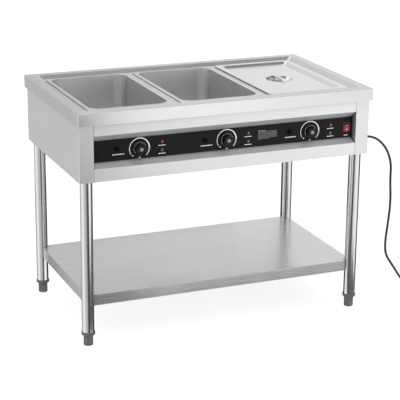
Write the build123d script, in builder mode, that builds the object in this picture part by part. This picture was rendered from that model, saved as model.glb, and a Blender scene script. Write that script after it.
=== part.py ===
"""Three-well electric steam table on four legs, with an undershelf.

Millimetres. X runs left to right, Y front to back, Z up. The origin is on the
floor, under the middle of the worktop. The controls face -Y.
"""
from math import pi, radians, tan
import os

from build123d import *

os.makedirs("parts", exist_ok=True)

# ---------------------------------------------------------------- main sizes
length = 1150.0          # worktop, left to right
depth = 670.0            # worktop, front to back
height = 875.0           # floor to worktop
sheet = 1.2              # stainless sheet of the cabinet
gap = 0.3                # working gap between pieces that move apart
clearance = 0.1          # between a fixed piece and the hole it sits in
running = 0.06           # round a shaft that turns or slides

# worktop: a folded tray with a sunken deck that carries the pans
edge_height = 46.0       # down-turned edge
edge_bottom = height - edge_height
edge_corner = 4.0        # rounding of the upright corners
edge_bend = 2.5          # rounding of the top bend
deck_y = 3.0             # the deck sits a little behind the middle
rim_length, rim_width = 1080.0, 590.0
deck_length, deck_width = 1046.0, 556.0
rim_corner, deck_corner = 14.0, 10.0
deck_z = height - 12.0

# wells and food pans, full-size gastronorm
bays = {"left": -350.0, "centre": 0.0, "right": 350.0}
opening_width, opening_length, opening_corner = 303.0, 508.0, 24.0
well_floor = deck_z - 172.0
well_bend = 12.0
well_flange = 12.0
pan_width, pan_length, pan_corner = 325.0, 530.0, 16.0
pan_sheet = 0.8
pan_lip = 3.4
pan_top = deck_z + 0.2 + pan_lip
pan_depth = 150.0
pan_mouth_width, pan_mouth_length, pan_mouth_corner = 299.0, 504.0, 42.0
pan_draft = 4.0

# cabinet
body_bottom = 622.0
half_width = length / 2 - 7.0
half_front = depth / 2 - 13.5
body_top = height - sheet
post_width = 53.0                                # front corner posts
seam = half_width - post_width                   # where a post meets the front panel
strip_bottom = 788.0                             # upper front strip
fascia_top, fascia_bottom = 764.0, 683.0
lower_strip_top = 668.0
recess = 29.5                                    # how far the fascia is set back
fascia_thickness = 1.5
fascia_y = -half_front + recess                  # outer face of the fascia
panel_y = fascia_y + fascia_thickness            # outer face of the panel behind it
inner_y = panel_y + sheet                        # inner face of that panel
bend = 2.0

# controls
knob_pitch = 336.5
knob_x = {"left": 2.0 - knob_pitch, "centre": 2.0, "right": 2.0 + knob_pitch}
knob_z = 722.0
reset_dx, reset_z = -86.0, 727.0
lamp_dx, red_lamp_z, green_lamp_z = 85.0, 738.5, 707.7
switch_x, switch_z = 490.5, 725.0
switch_hole_width, switch_hole_height = 27.4, 31.4
rocker_tilt = 9.0
knob_hole, reset_hole, lamp_hole = 6.0, 5.5, 5.0     # radii of the round holes

# legs and feet
leg_x, leg_y, leg_radius, leg_wall = 534.0, 288.0, 22.5, 1.5
collar_bottom, collar_top, collar_radius = 36.0, 52.0, 25.0
foot_radius = 17.5
stud_radius = 6.0
corners = {
    "front_left": (-leg_x, -leg_y),
    "front_right": (leg_x, -leg_y),
    "back_left": (-leg_x, leg_y),
    "back_right": (leg_x, leg_y),
}

# undershelf
shelf_top, shelf_skirt = 190.4, 42.0
shelf_half_x, shelf_half_y = 536.5, 290.5

# drains
drain_radius, drain_wall = 10.65, 1.25
valve_z, valve_half_height, valve_radius = 590.0, 17.0, 17.0
ball_radius, flow_radius = 11.0, 7.0
stem_radius = 4.0
outlet_z, outlet_length = 556.0, 52.0            # the outlet turns to the back
stem_boss_radius, stem_boss_reach = 7.5, 6.0
elbow_radius, elbow_reach = 12.5, 15.0           # a shoulder that stops the hose

# supply cord
cord_radius = 4.5
gland_y, gland_z = -240.0, 664.0
gland_thread = 8.0
gland_collar, gland_collar_radius = 4.0, 12.0
gland_end = half_width + 30.0
coil_x, coil_y, coil_radius = 932.0, -185.5, 50.0
coil_half_width, coil_height = 9.0, 17.2
floor_clearance = 0.1
plug_x, plug_z = coil_x + coil_radius, 10.5
tail_start, boot_start, plug_start = coil_y + 29.0, coil_y + 52.0, coil_y + 76.0


def save(builder, label):
    """Name a finished piece and write its STEP file."""
    builder.part.label = label
    export_step(builder.part, f"parts/{label}.step")


def facing_front(y):
    """A drawing plane that looks along +Y at depth y: local X is X, local Y is Z."""
    return Plane(origin=(0, y, 0), x_dir=(1, 0, 0), z_dir=(0, -1, 0))


def facing_back(y):
    """A drawing plane that looks back along -Y at depth y: local Y is Z."""
    return Plane(origin=(0, y, 0), x_dir=(-1, 0, 0), z_dir=(0, 1, 0))


knob_places = [(x, knob_z) for x in knob_x.values()]
reset_places = [(x + reset_dx, reset_z) for x in knob_x.values()]
red_lamp_places = [(x + lamp_dx, red_lamp_z) for x in knob_x.values()]
green_lamp_places = [(x + lamp_dx, green_lamp_z) for x in knob_x.values()]


def control_holes():
    """The sketch of every hole that the controls pass through, seen from the front."""
    with BuildSketch(Plane.XY) as holes:
        with Locations(*knob_places):
            Circle(knob_hole)
        with Locations(*reset_places):
            Circle(reset_hole)
        with Locations(*red_lamp_places, *green_lamp_places):
            Circle(lamp_hole)
        with Locations((switch_x, switch_z)):
            Rectangle(switch_hole_width, switch_hole_height)
    return holes.sketch


# ---------------------------------------------------------------- worktop
with BuildPart() as worktop:
    with BuildSketch(Plane.XY.offset(edge_bottom)):
        RectangleRounded(length, depth, edge_corner)
    extrude(amount=edge_height)
    fillet(worktop.faces().sort_by(Axis.Z)[-1].edges(), edge_bend)
    with BuildSketch(Plane.XY.offset(edge_bottom)):
        RectangleRounded(length - 2 * sheet, depth - 2 * sheet, edge_corner - sheet)
    extrude(amount=edge_height - sheet, mode=Mode.SUBTRACT)
    # the deck drops from the rim on sloping sides
    for lower, mode in ((deck_z - sheet, Mode.ADD), (deck_z, Mode.SUBTRACT)):
        with BuildSketch(Plane.XY.offset(lower)):
            with Locations((0, deck_y)):
                RectangleRounded(deck_length, deck_width, deck_corner)
        with BuildSketch(Plane.XY.offset(lower + height - deck_z)):
            with Locations((0, deck_y)):
                RectangleRounded(rim_length, rim_width, rim_corner)
        loft(mode=mode)
    with BuildSketch(Plane.XY.offset(deck_z - sheet)):
        with Locations(*[(x, deck_y) for x in bays.values()]):
            RectangleRounded(opening_width, opening_length, opening_corner)
    extrude(amount=sheet, mode=Mode.SUBTRACT)
save(worktop, "worktop")

# ---------------------------------------------------------------- water wells
element_z = well_floor + 7.0
element_radius = 4.0
element_leads = (-39.0, -17.0)                   # from the middle of each well
well_wall_y = deck_y - opening_length / 2 - sheet

for bay, x in bays.items():
    with BuildPart() as well:
        with BuildSketch(Plane.XY.offset(well_floor - sheet)):
            with Locations((x, deck_y)):
                RectangleRounded(
                    opening_width + 2 * sheet, opening_length + 2 * sheet, opening_corner + sheet
                )
        extrude(amount=deck_z - well_floor)
        fillet(well.faces().sort_by(Axis.Z)[0].edges(), well_bend)
        offset(amount=-sheet, openings=well.faces().sort_by(Axis.Z)[-1])
        # flange welded to the underside of the deck
        with BuildSketch(Plane.XY.offset(deck_z - 2 * sheet)):
            with Locations((x, deck_y)):
                RectangleRounded(
                    opening_width + 2 * well_flange,
                    opening_length + 2 * well_flange,
                    opening_corner + well_flange,
                )
                RectangleRounded(
                    opening_width, opening_length, opening_corner, mode=Mode.SUBTRACT
                )
        extrude(amount=sheet)
        with BuildSketch(Plane.XY.offset(well_floor - sheet)):
            with Locations((x, deck_y)):
                Circle(drain_radius)
        extrude(amount=sheet, mode=Mode.SUBTRACT)
        with BuildSketch(facing_front(well_wall_y + well_bend)):
            with Locations(*[(x + dx, element_z) for dx in element_leads]):
                Circle(element_radius)
        extrude(amount=well_bend + sheet, mode=Mode.SUBTRACT)
    save(well, f"well_{bay}")

# ---------------------------------------------------------------- heating elements
# A bent tube lies on each well floor; both ends pass the front wall in hex nuts.
element_bend = 14.0
nut_thickness, nut_radius = 7.0, 8.0
pin_radius, pin_length = 2.0, 9.0
element_end = well_wall_y - 19.0
loop = [(-39, -215), (-100, -215), (-100, 215), (-35, 215), (-35, -150)]
loop += [(35, -150), (35, 215), (100, 215), (100, -215), (-17, -215)]

for bay, x in bays.items():
    with BuildPart() as element:
        with BuildLine() as element_path:
            FilletPolyline(
                (x + loop[0][0], element_end, element_z),
                *[(x + px, deck_y + py, element_z) for px, py in loop],
                (x + loop[-1][0], element_end, element_z),
                radius=element_bend,
            )
        with BuildSketch(Plane(element_path.line @ 0, z_dir=element_path.line % 0)):
            Circle(element_radius)
        sweep()
        with BuildSketch(facing_front(well_wall_y)):
            with Locations(*[(x + dx, element_z) for dx in element_leads]):
                RegularPolygon(nut_radius, 6)
        extrude(amount=nut_thickness)
        with BuildSketch(facing_front(element_end)):
            with Locations(*[(x + dx, element_z) for dx in element_leads]):
                Circle(pin_radius)
        extrude(amount=pin_length)
    save(element, f"heating_element_{bay}")

# ---------------------------------------------------------------- front panel
# One folded sheet: upper strip, slope, recessed wall, slope, lower strip.
front_middle = -half_front + sheet / 2
recess_middle = panel_y + sheet / 2
seam_gap = 1.0            # open joint beside each corner post
panel_half = seam - seam_gap
fascia_inset = 1.0        # the fascia stops short of the bends

with BuildPart() as front_panel:
    with BuildSketch(Plane.YZ.offset(-panel_half)):
        with BuildLine():
            FilletPolyline(
                (front_middle, body_top),
                (front_middle, strip_bottom),
                (recess_middle, fascia_top + fascia_inset),
                (recess_middle, fascia_bottom - fascia_inset),
                (front_middle, lower_strip_top),
                (front_middle, body_bottom),
                radius=bend,
            )
        trace(line_width=sheet)
    extrude(amount=2 * panel_half)
    with BuildSketch(facing_front(panel_y + 2 * sheet)):
        add(control_holes())
    extrude(amount=3 * sheet, mode=Mode.SUBTRACT)
save(front_panel, "front_panel")

# ---------------------------------------------------------------- control fascia
with BuildPart() as fascia:
    with BuildSketch(facing_front(panel_y)):
        with Locations((0, (fascia_top + fascia_bottom) / 2)):
            Rectangle(2 * panel_half, fascia_top - fascia_bottom - 2 * fascia_inset)
        add(control_holes(), mode=Mode.SUBTRACT)
    extrude(amount=fascia_thickness)
save(fascia, "control_fascia")

# ---------------------------------------------------------------- back cover screws
screw_radius, screw_head_radius, screw_head_height, screw_length = 1.9, 4.0, 2.4, 8.0
back_top = edge_bottom + 30.0
back_face = half_front + sheet
screw_rows = (body_bottom + 14, body_bottom + 120, back_top - 24)
screw_columns = (-380, -190, 0, 190, 380)
back_screws = [(side * (half_width - 14), z) for side in (-1, 1) for z in screw_rows]
back_screws += [(x, body_bottom + 9) for x in screw_columns]

# ---------------------------------------------------------------- side panels
# Each side wraps round the front corner as a post and closes the recess's end.
return_depth = 24.0
cheek_bottom, cheek_top = lower_strip_top - 6, strip_bottom + 6

for side, sign in (("left", -1), ("right", 1)):
    with BuildPart() as side_panel:
        with BuildSketch(Plane.XY.offset(body_bottom)):
            with BuildLine():
                FilletPolyline(
                    (sign * (half_width - return_depth), half_front - sheet / 2),
                    (sign * (half_width - sheet / 2), half_front - sheet / 2),
                    (sign * (half_width - sheet / 2), -half_front + sheet / 2),
                    (sign * seam, -half_front + sheet / 2),
                    radius=bend,
                )
            trace(line_width=sheet)
        extrude(amount=body_top - body_bottom)
        with BuildSketch(Plane.XY.offset(cheek_bottom)):
            with Locations((sign * (seam + sheet / 2), -half_front + recess / 2 + sheet)):
                Rectangle(sheet, recess + 2 * sheet)
        extrude(amount=cheek_top - cheek_bottom)
        if side == "right":
            with BuildSketch(Plane.YZ.offset(half_width - 3 * sheet)):
                with Locations((gland_y, gland_z)):
                    Circle(gland_thread)
            extrude(amount=6 * sheet, mode=Mode.SUBTRACT)
        with BuildSketch(facing_front(back_face)):
            with Locations(*[place for place in back_screws if place[0] * sign > 500]):
                Circle(screw_radius)
        extrude(amount=3 * sheet, mode=Mode.SUBTRACT)
    save(side_panel, f"side_panel_{side}")

# ---------------------------------------------------------------- back panel
# A removable cover over the returns of the side panels.
vent_pitch, vent_row_pitch, vent_count, vent_rows = 30.0, 18.0, 12, 2
vent_length, vent_width, vent_z = 20.0, 5.0, body_bottom + 60.0

with BuildPart() as back_panel:
    with BuildSketch(facing_front(half_front + sheet)):
        with Locations((0, (body_bottom + 2 + back_top) / 2)):
            Rectangle(2 * half_width - 6, back_top - body_bottom - 2)
    extrude(amount=sheet)
    with BuildSketch(facing_front(half_front + 2 * sheet)):
        with Locations((0, vent_z)):
            with GridLocations(vent_pitch, vent_row_pitch, vent_count, vent_rows):
                SlotOverall(vent_length, vent_width)
        with Locations(*back_screws):
            Circle(screw_radius)
    extrude(amount=3 * sheet, mode=Mode.SUBTRACT)
save(back_panel, "back_panel")

# ---------------------------------------------------------------- bottom panel
# A shallow tray that closes the cabinet and carries the leg sockets.
tray_half_x = half_width - sheet
tray_half_y = half_front - sheet
tray_edge = 16.0
socket_radius = leg_radius - leg_wall - clearance
pipe_hole_radius = 14.0

with BuildPart() as bottom_panel:
    with BuildSketch(Plane.XY.offset(body_bottom)):
        RectangleRounded(2 * tray_half_x, 2 * tray_half_y, bend)
    extrude(amount=tray_edge)
    with BuildSketch(Plane.XY.offset(body_bottom + sheet)):
        RectangleRounded(2 * (tray_half_x - sheet), 2 * (tray_half_y - sheet), bend - sheet)
    extrude(amount=tray_edge, mode=Mode.SUBTRACT)
    with BuildSketch(facing_front(back_face)):
        with Locations(*[(x, z) for x, z in back_screws if z < body_bottom + tray_edge]):
            Circle(screw_radius)
    extrude(amount=4 * sheet, mode=Mode.SUBTRACT)
    with BuildSketch(Plane.XY.offset(body_bottom)):
        with Locations(*corners.values()):
            Circle(socket_radius)
        with Locations(*[(x, deck_y) for x in bays.values()]):
            Circle(pipe_hole_radius)
    extrude(amount=sheet, mode=Mode.SUBTRACT)
save(bottom_panel, "bottom_panel")

# ---------------------------------------------------------------- thermostats
# A capillary thermostat behind each knob, with a bush that holds its spindle.
thermostat_size, thermostat_depth = 38.0, 26.0
spindle_radius = 3.0
bore_radius = spindle_radius + running
spindle_back = inner_y + 13.0

with BuildPart() as thermostats:
    with BuildSketch(facing_front(inner_y + thermostat_depth)):
        with Locations(*knob_places):
            RectangleRounded(thermostat_size, thermostat_size, 3)
    extrude(amount=thermostat_depth)
    with BuildSketch(facing_front(inner_y)):
        with Locations(*knob_places):
            Circle(knob_hole - clearance)
    extrude(amount=inner_y - fascia_y)
    with BuildSketch(facing_front(spindle_back + 0.5)):
        with Locations(*knob_places):
            Circle(bore_radius)
    extrude(amount=spindle_back + 0.5 - fascia_y + 1, mode=Mode.SUBTRACT)
save(thermostats, "thermostats")

# ---------------------------------------------------------------- knobs
skirt_back = fascia_y - 1.2
skirt_thickness = 3.2
skirt_radius = 26.0
grip_front = fascia_y - 21.5
grip_radius = 18.5
grip_flutes = 24
flute_radius, flute_offset = 1.9, 1.2
grip_draft = 3.0
cap_radius, cap_thickness, cap_seat = 6.8, 1.6, 1.0
spindle_front = grip_front + 5.0

for bay, x in knob_x.items():
    with BuildPart() as spindle:
        with BuildSketch(facing_front(spindle_back)):
            with Locations((x, knob_z)):
                Circle(spindle_radius)
        extrude(amount=spindle_back - spindle_front)
    save(spindle, f"knob_spindle_{bay}")

    with BuildPart() as knob:
        with BuildSketch(facing_front(skirt_back)):
            with Locations((x, knob_z)):
                Circle(skirt_radius)
        extrude(amount=skirt_thickness)
        chamfer(knob.faces().sort_by(Axis.Y)[0].edges(), 1.4)
        with BuildSketch(facing_front(skirt_back - skirt_thickness)):
            with Locations((x, knob_z)):
                Circle(grip_radius)
                with PolarLocations(grip_radius + flute_offset, grip_flutes):
                    Circle(flute_radius, mode=Mode.SUBTRACT)
        extrude(amount=skirt_back - skirt_thickness - grip_front, taper=grip_draft)
        with BuildSketch(facing_front(skirt_back + 1)):
            with Locations((x, knob_z)):
                Circle(spindle_radius)
        extrude(amount=skirt_back + 1 - spindle_front, mode=Mode.SUBTRACT)
        with BuildSketch(facing_front(grip_front + cap_seat)):
            with Locations((x, knob_z)):
                Circle(cap_radius)
        extrude(amount=2 * cap_seat, mode=Mode.SUBTRACT)
    save(knob, f"knob_{bay}")

    with BuildPart() as knob_cap:
        with BuildSketch(facing_front(grip_front + cap_seat)):
            with Locations((x, knob_z)):
                Circle(cap_radius)
        extrude(amount=cap_thickness)
        fillet(knob_cap.faces().sort_by(Axis.Y)[0].edges(), 0.4)
    save(knob_cap, f"knob_cap_{bay}")

# ---------------------------------------------------------------- overheat cut-outs
# Manual-reset cut-outs behind the fascia, each with a sprung button in front.
button_travel = 3.0
bush_front = fascia_y - 2.2
button_back = bush_front - button_travel - 0.3
button_front = fascia_y - 11.0
button_radius, button_stem_radius = 7.2, 3.2
cutout_depth, cutout_radius = 18.0, 12.0
reset_nut_radius, reset_nut_thickness = 7.6, 1.8
stem_depth = 10.0

with BuildPart() as cutouts:
    with BuildSketch(facing_front(inner_y + cutout_depth)):
        with Locations(*reset_places):
            Circle(cutout_radius)
    extrude(amount=cutout_depth)
    with BuildSketch(facing_front(inner_y)):
        with Locations(*reset_places):
            Circle(reset_hole - clearance)
    extrude(amount=inner_y - bush_front)
    with BuildSketch(facing_front(fascia_y)):
        with Locations(*reset_places):
            RegularPolygon(reset_nut_radius, 6)
    extrude(amount=reset_nut_thickness)
    with BuildSketch(facing_front(inner_y + stem_depth)):
        with Locations(*reset_places):
            Circle(button_stem_radius + running)
    extrude(amount=inner_y + stem_depth - bush_front + 1, mode=Mode.SUBTRACT)
save(cutouts, "overheat_cutouts")

for bay, x in knob_x.items():
    with BuildPart() as reset_button:
        with BuildSketch(facing_front(button_back)):
            with Locations((x + reset_dx, reset_z)):
                Circle(button_radius)
        extrude(amount=button_back - button_front)
        fillet(reset_button.faces().sort_by(Axis.Y)[0].edges(), 1.2)
        with BuildSketch(facing_front(inner_y + stem_depth / 2)):
            with Locations((x + reset_dx, reset_z)):
                Circle(button_stem_radius)
        extrude(amount=inner_y + stem_depth / 2 - button_back)
    save(reset_button, f"reset_button_{bay}")

# ---------------------------------------------------------------- indicator lamps
lamp_body_radius, lamp_bezel_radius, lens_radius = 4.9, 6.6, 5.4
lamp_depth = 20.0
lamp_bezel, lens_height = 1.4, 2.6

for label, places in (("heating_lamps", red_lamp_places), ("power_lamps", green_lamp_places)):
    with BuildPart() as lamps:
        with BuildSketch(facing_front(inner_y + lamp_depth)):
            with Locations(*places):
                Circle(lamp_body_radius)
        extrude(amount=inner_y + lamp_depth - fascia_y)
        with BuildSketch(facing_front(fascia_y)):
            with Locations(*places):
                Circle(lamp_bezel_radius)
        extrude(amount=lamp_bezel)
        with BuildSketch(facing_front(fascia_y - lamp_bezel)):
            with Locations(*places):
                Circle(lens_radius)
        extrude(amount=lens_height)
        fillet(lamps.edges().filter_by(GeomType.CIRCLE).group_by(Axis.Y)[0], 1.6)
    save(lamps, label)

# ---------------------------------------------------------------- power switch
bezel_width, bezel_height, bezel_front = 32.0, 37.0, fascia_y - 2.6
slot_width, slot_height = 22.0, 30.8
housing_back = inner_y + 19.0
pivot_y = inner_y + 1.0

with BuildPart() as switch_housing:
    with BuildSketch(facing_front(fascia_y)):
        with Locations((switch_x, switch_z)):
            RectangleRounded(bezel_width, bezel_height, 2)
    extrude(amount=fascia_y - bezel_front)
    chamfer(switch_housing.faces().sort_by(Axis.Y)[0].edges(), 0.8)
    with BuildSketch(facing_front(housing_back)):
        with Locations((switch_x, switch_z)):
            Rectangle(switch_hole_width - 2 * clearance, switch_hole_height - 2 * clearance)
    extrude(amount=housing_back - fascia_y)
    with BuildSketch(facing_front(housing_back - 1.5)):
        with Locations((switch_x, switch_z)):
            Rectangle(slot_width, slot_height - 1.6)
    extrude(amount=housing_back - 1.5 - bezel_front + 1, mode=Mode.SUBTRACT)
    with BuildSketch(facing_front(pivot_y + 4)):
        with Locations((switch_x, switch_z)):
            Rectangle(slot_width, slot_height - 0.6)
    extrude(amount=pivot_y + 4 - bezel_front + 1, mode=Mode.SUBTRACT)
save(switch_housing, "switch_housing")

# The rocker's face is two flats that meet over the pivot. It rests tilted.
rocker_half = 14.0
with BuildPart() as switch_rocker:
    with BuildSketch(Plane.YZ.offset(switch_x - slot_width / 2 + 0.4)):
        with Locations(Location((pivot_y, switch_z), rocker_tilt)):
            Polygon(
                (-11.4, rocker_half),
                (-8.2, 0),
                (-11.4, -rocker_half),
                (1.0, -rocker_half + 2.5),
                (5.0, -4),
                (5.0, 4),
                (1.0, rocker_half - 2.5),
                align=None,
            )
    extrude(amount=slot_width - 0.8)
save(switch_rocker, "switch_rocker")

# ---------------------------------------------------------------- supply terminals and wiring
block_x, block_y = 528.0, -236.0
block_length, block_width, block_height = 50.0, 26.0, 22.0
block_top = body_bottom + sheet + block_height
terminal_pitch, terminal_row_pitch = 15.0, 14.0
terminal_radius, terminal_depth = 2.6, 6.0
lead_x = block_x + 8.0

with BuildPart() as terminal_block:
    with BuildSketch(Plane.XY.offset(body_bottom + sheet)):
        with Locations((block_x, block_y)):
            Rectangle(block_length, block_width)
    extrude(amount=block_height)
    with BuildSketch(Plane.XY.offset(block_top)):
        with Locations((block_x, block_y)):
            with GridLocations(terminal_pitch, terminal_row_pitch, 3, 2):
                Circle(terminal_radius)
    extrude(amount=-terminal_depth, mode=Mode.SUBTRACT)
save(terminal_block, "terminal_block")

trunk_y, trunk_z, trunk_radius = -303.0, 645.0, 6.0
branch_y, branch_radius = -276.0, 2.4
trunk_ends = (-430.0, 495.0)
feed_x, feed_z, feed_radius, feed_bend = 491.0, trunk_z - 4.0, 3.0, 7.0
lead_bend = 12.0
branches = [(x, knob_z - thermostat_size / 2) for x in knob_x.values()]
branches += [(x + reset_dx, reset_z - cutout_radius) for x in knob_x.values()]
branches += [(switch_x, switch_z - switch_hole_height / 2)]

with BuildPart() as wiring_loom:
    with BuildSketch(Plane.YZ.offset(trunk_ends[0])):
        with Locations((trunk_y, trunk_z)):
            Circle(trunk_radius)
    extrude(amount=trunk_ends[1] - trunk_ends[0])
    with BuildSketch(Plane.XY.offset(trunk_z)):
        with Locations(*[(x, branch_y) for x, top in branches]):
            Circle(branch_radius)
    extrude(amount=knob_z - thermostat_size / 2 - trunk_z)
    for x, top in branches:
        with BuildSketch(facing_front(branch_y)):
            with Locations((x, trunk_z)):
                Circle(branch_radius)
        extrude(amount=branch_y - trunk_y)
    # from the trunk to the side of the terminal block
    with BuildLine() as feed_path:
        FilletPolyline(
            (feed_x, trunk_y, feed_z),
            (feed_x, block_y, feed_z),
            (block_x - block_length / 2, block_y, feed_z),
            radius=feed_bend,
        )
    with BuildSketch(Plane(feed_path.line @ 0, z_dir=feed_path.line % 0)):
        Circle(feed_radius)
    sweep()
    # the incoming lead, from the gland to the top of the terminal block
    with BuildLine() as lead_path:
        FilletPolyline(
            (half_width - sheet - gland_collar, gland_y, gland_z),
            (lead_x, gland_y, gland_z),
            (lead_x, gland_y, block_top),
            radius=lead_bend,
        )
    with BuildSketch(Plane(lead_path.line @ 0, z_dir=lead_path.line % 0)):
        Circle(cord_radius)
    sweep()
save(wiring_loom, "wiring_loom")

# ---------------------------------------------------------------- drains
pipe_top = well_floor
with BuildPart() as drain_pipes:
    with BuildSketch(Plane.XY.offset(valve_z + valve_half_height)):
        with Locations(*[(x, deck_y) for x in bays.values()]):
            Circle(drain_radius)
            Circle(drain_radius - drain_wall, mode=Mode.SUBTRACT)
    extrude(amount=pipe_top - valve_z - valve_half_height)
save(drain_pipes, "drain_pipes")

# A ball valve under each well; its outlet turns to the back and takes a hose.
boss_length = valve_radius + stem_boss_reach
stem_front = deck_y - boss_length
bottom_up = (Align.CENTER, Align.CENTER, Align.MIN)
with BuildPart() as drain_valves:
    with Locations(*[(x, deck_y, valve_z) for x in bays.values()]):
        Cylinder(valve_radius, 2 * valve_half_height)
        with Locations((0, -boss_length / 2, 0)):
            Cylinder(stem_boss_radius, boss_length, rotation=(90, 0, 0))
        with Locations((0, 0, outlet_z - valve_z)):
            Cylinder(elbow_radius, valve_z - outlet_z, align=bottom_up)
            Sphere(elbow_radius)
            Cylinder(elbow_radius, elbow_reach, rotation=(-90, 0, 0), align=bottom_up)
            Cylinder(drain_radius, outlet_length, rotation=(-90, 0, 0), align=bottom_up)
            Cylinder(
                flow_radius,
                outlet_length,
                rotation=(-90, 0, 0),
                align=bottom_up,
                mode=Mode.SUBTRACT,
            )
            Sphere(flow_radius, mode=Mode.SUBTRACT)
            Cylinder(
                flow_radius,
                valve_z + valve_half_height - outlet_z,
                align=bottom_up,
                mode=Mode.SUBTRACT,
            )
        Sphere(ball_radius + clearance, mode=Mode.SUBTRACT)
        with Locations((0, -boss_length / 2 - 1, 0)):
            Cylinder(
                stem_radius + running, boss_length + 2, rotation=(90, 0, 0), mode=Mode.SUBTRACT
            )
save(drain_valves, "drain_valves")

# Each lever turns the ball a quarter turn. It rests crosswise: shut.
lever_length, lever_width, lever_thickness = 86.0, 12.0, 3.0
lever_back = stem_front - 0.8
stem_root, stem_end = deck_y - ball_radius + 2.0, stem_front - 6.0
lever_nut_radius, lever_nut_height = 6.0, 3.5
for bay, x in bays.items():
    with BuildPart() as drain_lever:
        with Locations((x, deck_y, valve_z)):
            Sphere(ball_radius)
            Cylinder(flow_radius, 3 * ball_radius, rotation=(0, 90, 0), mode=Mode.SUBTRACT)
        with BuildSketch(facing_front(stem_root)):
            with Locations((x, valve_z)):
                Circle(stem_radius)
        extrude(amount=stem_root - stem_end)
        with BuildSketch(facing_front(lever_back)):
            with Locations((x + lever_length / 2 - lever_width, valve_z)):
                SlotOverall(lever_length, lever_width)
        extrude(amount=lever_thickness)
        with BuildSketch(facing_front(lever_back - lever_thickness)):
            with Locations((x, valve_z)):
                RegularPolygon(lever_nut_radius, 6)
        extrude(amount=lever_nut_height)
    save(drain_lever, f"drain_lever_{bay}")

# ---------------------------------------------------------------- legs
plate_size, plate_thickness, socket_length, socket_wall = 60.0, 3.0, 44.0, 3.0
with BuildPart() as leg_sockets:
    with BuildSketch(Plane.XY.offset(body_bottom + sheet)):
        with Locations(*corners.values()):
            RectangleRounded(plate_size, plate_size, 4)
    extrude(amount=plate_thickness)
    with BuildSketch(Plane.XY.offset(body_bottom + sheet)):
        with Locations(*corners.values()):
            Circle(socket_radius)
            Circle(socket_radius - socket_wall, mode=Mode.SUBTRACT)
    extrude(amount=-socket_length)
save(leg_sockets, "leg_sockets")

for corner, place in corners.items():
    with BuildPart() as leg:
        with BuildSketch(Plane.XY.offset(collar_top)):
            with Locations(place):
                Circle(leg_radius)
                Circle(leg_radius - leg_wall, mode=Mode.SUBTRACT)
        extrude(amount=body_bottom - collar_top)
    save(leg, f"leg_{corner}")

insert_height = 34.0
with BuildPart() as leg_inserts:
    with BuildSketch(Plane.XY.offset(collar_bottom)):
        with Locations(*corners.values()):
            Circle(collar_radius)
    extrude(amount=collar_top - collar_bottom)
    fillet(leg_inserts.edges().filter_by(GeomType.CIRCLE).group_by(Axis.Z)[-1], 1.2)
    chamfer(leg_inserts.edges().filter_by(GeomType.CIRCLE).group_by(Axis.Z)[0], 6.0)
    with BuildSketch(Plane.XY.offset(collar_top)):
        with Locations(*corners.values()):
            Circle(leg_radius - leg_wall)
    extrude(amount=insert_height)
    with BuildSketch(Plane.XY.offset(collar_bottom)):
        with Locations(*corners.values()):
            Circle(stud_radius + running)
    extrude(amount=collar_top - collar_bottom + insert_height, mode=Mode.SUBTRACT)
save(leg_inserts, "leg_inserts")

# Each foot screws down out of its insert to level the table.
stud_top = collar_top + insert_height - 4.0
for corner, place in corners.items():
    with BuildPart() as foot:
        with BuildSketch():
            with Locations(place):
                Circle(foot_radius)
        extrude(amount=collar_bottom - gap)
        fillet(foot.edges().group_by(Axis.Z)[0], 2.5)
        with BuildSketch(Plane.XY.offset(collar_bottom - gap)):
            with Locations(place):
                Circle(stud_radius)
        extrude(amount=stud_top - collar_bottom + gap)
    save(foot, f"foot_{corner}")

# ---------------------------------------------------------------- undershelf
# A tray turned upside down, with a lip under its skirt and notches at the legs.
shelf_bottom = shelf_top - shelf_skirt
lip = 10.0
notch_radius = leg_radius + 0.2
rib_x, rib_width, rib_height = 180.0, 60.0, 18.0
rib_half_length = shelf_half_y - 14.0

with BuildPart() as undershelf:
    with BuildSketch(Plane.XY.offset(shelf_bottom)):
        Rectangle(2 * shelf_half_x, 2 * shelf_half_y)
    extrude(amount=shelf_skirt)
    fillet(undershelf.faces().sort_by(Axis.Z)[-1].edges(), 2.0)
    with BuildSketch(Plane.XY.offset(shelf_bottom + sheet)):
        Rectangle(2 * (shelf_half_x - sheet), 2 * (shelf_half_y - sheet))
    extrude(amount=shelf_skirt - 2 * sheet, mode=Mode.SUBTRACT)
    with BuildSketch(Plane.XY.offset(shelf_bottom)):
        Rectangle(2 * (shelf_half_x - lip), 2 * (shelf_half_y - lip))
    extrude(amount=sheet, mode=Mode.SUBTRACT)
    # a notch at each corner, round its leg
    with BuildSketch(Plane.XY.offset(shelf_bottom)):
        with Locations(*corners.values()):
            Circle(notch_radius)
    extrude(amount=shelf_skirt, mode=Mode.SUBTRACT)
    # two stiffening channels under the top, front to back
    with BuildSketch(Plane.XZ.offset(-rib_half_length)):
        with Locations((-rib_x, shelf_top - sheet), (rib_x, shelf_top - sheet)):
            Rectangle(rib_width, rib_height, align=(Align.CENTER, Align.MAX))
            Rectangle(
                rib_width - 2 * sheet,
                rib_height - sheet,
                align=(Align.CENTER, Align.MAX),
                mode=Mode.SUBTRACT,
            )
    extrude(amount=2 * rib_half_length)
save(undershelf, "undershelf")

# Saddle brackets clamp the shelf's corners to the legs.
bracket_bottom, bracket_height, bracket_wall = shelf_bottom + 8.0, 26.0, 3.5
with BuildPart() as shelf_brackets:
    with BuildSketch(Plane.XY.offset(bracket_bottom)):
        with Locations(*corners.values()):
            Circle(notch_radius + bracket_wall)
            Circle(notch_radius, mode=Mode.SUBTRACT)
        Rectangle(
            2 * (shelf_half_x - sheet), 2 * (shelf_half_y - sheet), mode=Mode.INTERSECT
        )
    extrude(amount=bracket_height)
save(shelf_brackets, "shelf_brackets")

# ---------------------------------------------------------------- food pans


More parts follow.
